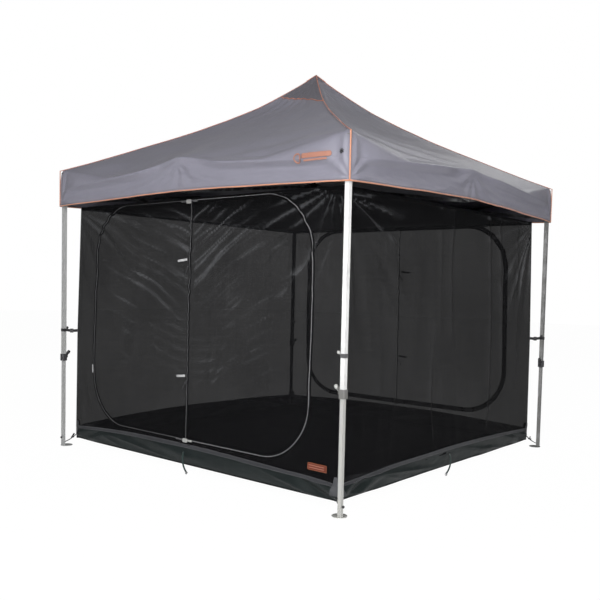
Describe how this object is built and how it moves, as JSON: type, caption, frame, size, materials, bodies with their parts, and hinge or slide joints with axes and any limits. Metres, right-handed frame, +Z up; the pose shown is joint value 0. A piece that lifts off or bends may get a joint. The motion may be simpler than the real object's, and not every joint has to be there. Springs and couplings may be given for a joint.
{
  "type": "screen house",
  "caption": "Square pop-up frame shelter with a peaked cloth canopy and an inner mesh room with a tub floor and zipped doors.",
  "frame": {"origin": "on the ground at the centre of the footprint", "axes": "+Z up, -Y the front with one of the two doors, +X to the right seen from the front"},
  "size_m": [3.004, 3.004, 3.1836],
  "materials": {
    "canopy_cloth": "satin coated cloth",
    "mesh": "see-through insect mesh",
    "tub_cloth": "coated groundsheet",
    "frame_steel": "powder coat, slight sheen",
    "frame_plastic": "moulded, fine grain"
  },
  "bodies": {
    "hub": {"centre_hub": "frame_plastic", "mast": "frame_steel", "mast_cap": "frame_plastic", "room_walls": "mesh"},
    "front_strut": {"front_roof_strut": "frame_steel"},
    "front_joint": {"front_truss_joint": "frame_plastic"},
    "front_fixed_right": {"front_fixed_brace_right": "frame_steel"},
    "front_sliding_right": {"front_sliding_brace_right": "frame_steel"},
    "front_fixed_left": {"front_fixed_brace_left": "frame_steel"},
    "front_sliding_left": {"front_sliding_brace_left": "frame_steel"},
    "leg_front_right": {"upper_leg_front_right": "frame_steel", "leg_fittings_front_right": "frame_plastic"},
    "slider_front_right": {"slider_front_right": "frame_plastic"},
    "lower_leg_front_right": {"lower_leg_front_right": "frame_steel"},
    "roof_front": {"roof_panel_front": "canopy_cloth"},
    "valance_front": {"valance_front": "canopy_cloth"},
    "right_strut": {"right_roof_strut": "frame_steel"},
    "right_joint": {"right_truss_joint": "frame_plastic"},
    "right_fixed_right": {"right_fixed_brace_right": "frame_steel"},
    "right_sliding_right": {"right_sliding_brace_right": "frame_steel"},
    "right_fixed_left": {"right_fixed_brace_left": "frame_steel"},
    "right_sliding_left": {"right_sliding_brace_left": "frame_steel"},
    "leg_back_right": {"upper_leg_back_right": "frame_steel", "leg_fittings_back_right": "frame_plastic"},
    "slider_back_right": {"slider_back_right": "frame_plastic"},
    "lower_leg_back_right": {"lower_leg_back_right": "frame_steel"},
    "roof_right": {"roof_panel_right": "canopy_cloth"},
    "valance_right": {"valance_right": "canopy_cloth"},
    "back_strut": {"back_roof_strut": "frame_steel"},
    "back_joint": {"back_truss_joint": "frame_plastic"},
    "back_fixed_right": {"back_fixed_brace_right": "frame_steel"},
    "back_sliding_right": {"back_sliding_brace_right": "frame_steel"},
    "back_fixed_left": {"back_fixed_brace_left": "frame_steel"},
    "back_sliding_left": {"back_sliding_brace_left": "frame_steel"},
    "leg_back_left": {"upper_leg_back_left": "frame_steel", "leg_fittings_back_left": "frame_plastic"},
    "slider_back_left": {"slider_back_left": "frame_plastic"},
    "lower_leg_back_left": {"lower_leg_back_left": "frame_steel"},
    "roof_back": {"roof_panel_back": "canopy_cloth"},
    "valance_back": {"valance_back": "canopy_cloth"},
    "left_strut": {"left_roof_strut": "frame_steel"},
    "left_joint": {"left_truss_joint": "frame_plastic"},
    "left_fixed_right": {"left_fixed_brace_right": "frame_steel"},
    "left_sliding_right": {"left_sliding_brace_right": "frame_steel"},
    "left_fixed_left": {"left_fixed_brace_left": "frame_steel"},
    "left_sliding_left": {"left_sliding_brace_left": "frame_steel"},
    "leg_front_left": {"upper_leg_front_left": "frame_steel", "leg_fittings_front_left": "frame_plastic"},
    "slider_front_left": {"slider_front_left": "frame_plastic"},
    "lower_leg_front_left": {"lower_leg_front_left": "frame_steel"},
    "roof_left": {"roof_panel_left": "canopy_cloth"},
    "valance_left": {"valance_left": "canopy_cloth"},
    "floor_right": {"tub_floor_right": "tub_cloth"},
    "ceiling_right": {"ceiling_right": "mesh"},
    "floor_left": {"tub_floor_left": "tub_cloth"},
    "ceiling_left": {"ceiling_left": "mesh"},
    "front_door_right": {"front_door_right": "mesh"},
    "front_door_left": {"front_door_left": "mesh"},
    "back_door_right": {"back_door_right": "mesh"},
    "back_door_left": {"back_door_left": "mesh"}
  },
  "joints": [
    {"name": "frame_fold", "type": "hinge", "parent": "hub", "child": "front_strut", "pos_m": [0, -0.028, 2.247], "axis": [1, 0, 0], "range_deg": [0, 78], "deforming": ["room_walls", "roof_panel_front", "valance_front", "roof_panel_right", "valance_right", "roof_panel_back", "valance_back", "roof_panel_left", "valance_left", "tub_floor_right", "ceiling_right", "tub_floor_left", "ceiling_left", "front_door_right", "front_door_left", "back_door_right", "back_door_left"]},
    {"name": "front_joint_pivot", "type": "hinge", "parent": "front_strut", "child": "front_joint", "pos_m": [0, -1.442, 2.047], "axis": [1, 0, 0], "range_deg": [-78, 0]},
    {"name": "front_fixed_right_fold", "type": "hinge", "parent": "front_joint", "child": "front_fixed_right", "pos_m": [0, -1.474, 2.047], "axis": [0, 1, 0], "range_deg": [-78, 0]},
    {"name": "front_scissor_right", "type": "hinge", "parent": "front_fixed_right", "child": "front_sliding_right", "pos_m": [0.707, -1.474, 2.147], "axis": [0, 1, 0], "range_deg": [0, 156]},
    {"name": "front_fixed_left_fold", "type": "hinge", "parent": "front_joint", "child": "front_fixed_left", "pos_m": [0, -1.474, 2.047], "axis": [0, 1, 0], "range_deg": [0, 78]},
    {"name": "front_scissor_left", "type": "hinge", "parent": "front_fixed_left", "child": "front_sliding_left", "pos_m": [-0.707, -1.474, 2.147], "axis": [0, 1, 0], "range_deg": [-156, 0]},
    {"name": "leg_front_right_pivot", "type": "hinge", "parent": "front_fixed_right", "child": "leg_front_right", "pos_m": [1.414, -1.474, 2.247], "axis": [0, 1, 0], "range_deg": [0, 78]},
    {"name": "slider_front_right_pivot", "type": "hinge", "parent": "front_sliding_right", "child": "slider_front_right", "pos_m": [1.414, -1.474, 2.047], "axis": [0, 1, 0], "range_deg": [-78, 0]},
    {"name": "leg_front_right_slide", "type": "slide", "parent": "leg_front_right", "child": "lower_leg_front_right", "axis": [0, 0, 1], "range_m": [0, 0.6], "stiffness_N_per_m": 40000},
    {"name": "roof_front_fold", "type": "hinge", "parent": "hub", "child": "roof_front", "pos_m": [0, -0.039, 3.184], "axis": [1, 0, 0], "range_deg": [0, 50]},
    {"name": "valance_front_fold", "type": "hinge", "parent": "roof_front", "child": "valance_front", "pos_m": [0, -1.499, 2.2965], "axis": [1, 0, 0], "range_deg": [-50, 0]},
    {"name": "right_strut_fold", "type": "hinge", "parent": "hub", "child": "right_strut", "pos_m": [0.028, 0, 2.247], "axis": [0, 1, 0], "range_deg": [0, 78]},
    {"name": "right_joint_pivot", "type": "hinge", "parent": "right_strut", "child": "right_joint", "pos_m": [1.442, 0, 2.047], "axis": [0, 1, 0], "range_deg": [-78, 0]},
    {"name": "right_fixed_right_fold", "type": "hinge", "parent": "right_joint", "child": "right_fixed_right", "pos_m": [1.474, 0, 2.047], "axis": [-1, 0, 0], "range_deg": [-78, 0]},
    {"name": "right_scissor_right", "type": "hinge", "parent": "right_fixed_right", "child": "right_sliding_right", "pos_m": [1.474, 0.707, 2.147], "axis": [-1, 0, 0], "range_deg": [0, 156]},
    {"name": "right_fixed_left_fold", "type": "hinge", "parent": "right_joint", "child": "right_fixed_left", "pos_m": [1.474, 0, 2.047], "axis": [-1, 0, 0], "range_deg": [0, 78]},
    {"name": "right_scissor_left", "type": "hinge", "parent": "right_fixed_left", "child": "right_sliding_left", "pos_m": [1.474, -0.707, 2.147], "axis": [-1, 0, 0], "range_deg": [-156, 0]},
    {"name": "leg_back_right_pivot", "type": "hinge", "parent": "right_fixed_right", "child": "leg_back_right", "pos_m": [1.474, 1.414, 2.247], "axis": [-1, 0, 0], "range_deg": [0, 78]},
    {"name": "slider_back_right_pivot", "type": "hinge", "parent": "right_sliding_right", "child": "slider_back_right", "pos_m": [1.474, 1.414, 2.047], "axis": [-1, 0, 0], "range_deg": [-78, 0]},
    {"name": "leg_back_right_slide", "type": "slide", "parent": "leg_back_right", "child": "lower_leg_back_right", "axis": [0, 0, 1], "range_m": [0, 0.6], "stiffness_N_per_m": 40000},
    {"name": "roof_right_fold", "type": "hinge", "parent": "hub", "child": "roof_right", "pos_m": [0.039, 0, 3.184], "axis": [0, 1, 0], "range_deg": [0, 50]},
    {"name": "valance_right_fold", "type": "hinge", "parent": "roof_right", "child": "valance_right", "pos_m": [1.499, 0, 2.2965], "axis": [0, 1, 0], "range_deg": [-50, 0]},
    {"name": "back_strut_fold", "type": "hinge", "parent": "hub", "child": "back_strut", "pos_m": [0, 0.028, 2.247], "axis": [-1, 0, 0], "range_deg": [0, 78]},
    {"name": "back_joint_pivot", "type": "hinge", "parent": "back_strut", "child": "back_joint", "pos_m": [0, 1.442, 2.047], "axis": [-1, 0, 0], "range_deg": [-78, 0]},
    {"name": "back_fixed_right_fold", "type": "hinge", "parent": "back_joint", "child": "back_fixed_right", "pos_m": [0, 1.474, 2.047], "axis": [0, -1, 0], "range_deg": [-78, 0]},
    {"name": "back_scissor_right", "type": "hinge", "parent": "back_fixed_right", "child": "back_sliding_right", "pos_m": [-0.707, 1.474, 2.147], "axis": [0, -1, 0], "range_deg": [0, 156]},
    {"name": "back_fixed_left_fold", "type": "hinge", "parent": "back_joint", "child": "back_fixed_left", "pos_m": [0, 1.474, 2.047], "axis": [0, -1, 0], "range_deg": [0, 78]},
    {"name": "back_scissor_left", "type": "hinge", "parent": "back_fixed_left", "child": "back_sliding_left", "pos_m": [0.707, 1.474, 2.147], "axis": [0, -1, 0], "range_deg": [-156, 0]},
    {"name": "leg_back_left_pivot", "type": "hinge", "parent": "back_fixed_right", "child": "leg_back_left", "pos_m": [-1.414, 1.474, 2.247], "axis": [0, -1, 0], "range_deg": [0, 78]},
    {"name": "slider_back_left_pivot", "type": "hinge", "parent": "back_sliding_right", "child": "slider_back_left", "pos_m": [-1.414, 1.474, 2.047], "axis": [0, -1, 0], "range_deg": [-78, 0]},
    {"name": "leg_back_left_slide", "type": "slide", "parent": "leg_back_left", "child": "lower_leg_back_left", "axis": [0, 0, 1], "range_m": [0, 0.6], "stiffness_N_per_m": 40000},
    {"name": "roof_back_fold", "type": "hinge", "parent": "hub", "child": "roof_back", "pos_m": [0, 0.039, 3.184], "axis": [-1, 0, 0], "range_deg": [0, 50]},
    {"name": "valance_back_fold", "type": "hinge", "parent": "roof_back", "child": "valance_back", "pos_m": [0, 1.499, 2.2965], "axis": [-1, 0, 0], "range_deg": [-50, 0]},
    {"name": "left_strut_fold", "type": "hinge", "parent": "hub", "child": "left_strut", "pos_m": [-0.028, 0, 2.247], "axis": [0, -1, 0], "range_deg": [0, 78]},
    {"name": "left_joint_pivot", "type": "hinge", "parent": "left_strut", "child": "left_joint", "pos_m": [-1.442, 0, 2.047], "axis": [0, -1, 0], "range_deg": [-78, 0]},
    {"name": "left_fixed_right_fold", "type": "hinge", "parent": "left_joint", "child": "left_fixed_right", "pos_m": [-1.474, 0, 2.047], "axis": [1, 0, 0], "range_deg": [-78, 0]},
    {"name": "left_scissor_right", "type": "hinge", "parent": "left_fixed_right", "child": "left_sliding_right", "pos_m": [-1.474, -0.707, 2.147], "axis": [1, 0, 0], "range_deg": [0, 156]},
    {"name": "left_fixed_left_fold", "type": "hinge", "parent": "left_joint", "child": "left_fixed_left", "pos_m": [-1.474, 0, 2.047], "axis": [1, 0, 0], "range_deg": [0, 78]},
    {"name": "left_scissor_left", "type": "hinge", "parent": "left_fixed_left", "child": "left_sliding_left", "pos_m": [-1.474, 0.707, 2.147], "axis": [1, 0, 0], "range_deg": [-156, 0]},
    {"name": "leg_front_left_pivot", "type": "hinge", "parent": "left_fixed_right", "child": "leg_front_left", "pos_m": [-1.474, -1.414, 2.247], "axis": [1, 0, 0], "range_deg": [0, 78]},
    {"name": "slider_front_left_pivot", "type": "hinge", "parent": "left_sliding_right", "child": "slider_front_left", "pos_m": [-1.474, -1.414, 2.047], "axis": [1, 0, 0], "range_deg": [-78, 0]},
    {"name": "leg_front_left_slide", "type": "slide", "parent": "leg_front_left", "child": "lower_leg_front_left", "axis": [0, 0, 1], "range_m": [0, 0.6], "stiffness_N_per_m": 40000},
    {"name": "roof_left_fold", "type": "hinge", "parent": "hub", "child": "roof_left", "pos_m": [-0.039, 0, 3.184], "axis": [0, -1, 0], "range_deg": [0, 50]},
    {"name": "valance_left_fold", "type": "hinge", "parent": "roof_left", "child": "valance_left", "pos_m": [-1.499, 0, 2.2965], "axis": [0, -1, 0], "range_deg": [-50, 0]},
    {"name": "floor_right_fold", "type": "hinge", "parent": "leg_front_right", "child": "floor_right", "pos_m": [1.39, 0, 0.053], "axis": [0, 1, 0], "range_deg": [0, 87.3]},
    {"name": "ceiling_right_fold", "type": "hinge", "parent": "leg_front_right", "child": "ceiling_right", "pos_m": [1.39, 0, 2.011], "axis": [0, 1, 0], "range_deg": [-89, 0]},
    {"name": "floor_left_fold", "type": "hinge", "parent": "leg_front_left", "child": "floor_left", "pos_m": [-1.39, 0, 0.053], "axis": [0, 1, 0], "range_deg": [-87.3, 0]},
    {"name": "ceiling_left_fold", "type": "hinge", "parent": "leg_front_left", "child": "ceiling_left", "pos_m": [-1.39, 0, 2.011], "axis": [0, 1, 0], "range_deg": [0, 89]},
    {"name": "front_door_right_swing", "type": "hinge", "parent": "leg_front_right", "child": "front_door_right", "pos_m": [1.1485, -1.39, 0], "axis": [0, 0, -1], "range_deg": [-110, 0]},
    {"name": "front_door_left_swing", "type": "hinge", "parent": "leg_front_left", "child": "front_door_left", "pos_m": [-1.1485, -1.39, 0], "axis": [0, 0, 1], "range_deg": [-110, 0]},
    {"name": "back_door_right_swing", "type": "hinge", "parent": "leg_back_left", "child": "back_door_right", "pos_m": [-1.1485, 1.39, 0], "axis": [0, 0, -1], "range_deg": [-110, 0]},
    {"name": "back_door_left_swing", "type": "hinge", "parent": "leg_back_right", "child": "back_door_left", "pos_m": [1.1485, 1.39, 0], "axis": [0, 0, 1], "range_deg": [-110, 0]}
  ],
  "couplings": [
    {"joint": "front_joint_pivot", "follows": "frame_fold", "ratio": -1},
    {"joint": "front_fixed_right_fold", "follows": "frame_fold", "ratio": -1},
    {"joint": "front_scissor_right", "follows": "frame_fold", "ratio": 2},
    {"joint": "front_fixed_left_fold", "follows": "frame_fold", "ratio": 1},
    {"joint": "front_scissor_left", "follows": "frame_fold", "ratio": -2},
    {"joint": "leg_front_right_pivot", "follows": "frame_fold", "ratio": 1},
    {"joint": "slider_front_right_pivot", "follows": "frame_fold", "ratio": -1},
    {"joint": "roof_front_fold", "follows": "frame_fold", "ratio": 0.64103},
    {"joint": "valance_front_fold", "follows": "frame_fold", "ratio": -0.64103},
    {"joint": "right_strut_fold", "follows": "frame_fold", "ratio": 1},
    {"joint": "right_joint_pivot", "follows": "frame_fold", "ratio": -1},
    {"joint": "right_fixed_right_fold", "follows": "frame_fold", "ratio": -1},
    {"joint": "right_scissor_right", "follows": "frame_fold", "ratio": 2},
    {"joint": "right_fixed_left_fold", "follows": "frame_fold", "ratio": 1},
    {"joint": "right_scissor_left", "follows": "frame_fold", "ratio": -2},
    {"joint": "leg_back_right_pivot", "follows": "frame_fold", "ratio": 1},
    {"joint": "slider_back_right_pivot", "follows": "frame_fold", "ratio": -1},
    {"joint": "roof_right_fold", "follows": "frame_fold", "ratio": 0.64103},
    {"joint": "valance_right_fold", "follows": "frame_fold", "ratio": -0.64103},
    {"joint": "back_strut_fold", "follows": "frame_fold", "ratio": 1},
    {"joint": "back_joint_pivot", "follows": "frame_fold", "ratio": -1},
    {"joint": "back_fixed_right_fold", "follows": "frame_fold", "ratio": -1},
    {"joint": "back_scissor_right", "follows": "frame_fold", "ratio": 2},
    {"joint": "back_fixed_left_fold", "follows": "frame_fold", "ratio": 1},
    {"joint": "back_scissor_left", "follows": "frame_fold", "ratio": -2},
    {"joint": "leg_back_left_pivot", "follows": "frame_fold", "ratio": 1},
    {"joint": "slider_back_left_pivot", "follows": "frame_fold", "ratio": -1},
    {"joint": "roof_back_fold", "follows": "frame_fold", "ratio": 0.64103},
    {"joint": "valance_back_fold", "follows": "frame_fold", "ratio": -0.64103},
    {"joint": "left_strut_fold", "follows": "frame_fold", "ratio": 1},
    {"joint": "left_joint_pivot", "follows": "frame_fold", "ratio": -1},
    {"joint": "left_fixed_right_fold", "follows": "frame_fold", "ratio": -1},
    {"joint": "left_scissor_right", "follows": "frame_fold", "ratio": 2},
    {"joint": "left_fixed_left_fold", "follows": "frame_fold", "ratio": 1},
    {"joint": "left_scissor_left", "follows": "frame_fold", "ratio": -2},
    {"joint": "leg_front_left_pivot", "follows": "frame_fold", "ratio": 1},
    {"joint": "slider_front_left_pivot", "follows": "frame_fold", "ratio": -1},
    {"joint": "roof_left_fold", "follows": "frame_fold", "ratio": 0.64103},
    {"joint": "valance_left_fold", "follows": "frame_fold", "ratio": -0.64103},
    {"joint": "floor_right_fold", "follows": "frame_fold", "ratio": 1.1192},
    {"joint": "ceiling_right_fold", "follows": "frame_fold", "ratio": -1.141},
    {"joint": "floor_left_fold", "follows": "frame_fold", "ratio": -1.1192},
    {"joint": "ceiling_left_fold", "follows": "frame_fold", "ratio": 1.141}
  ]
}
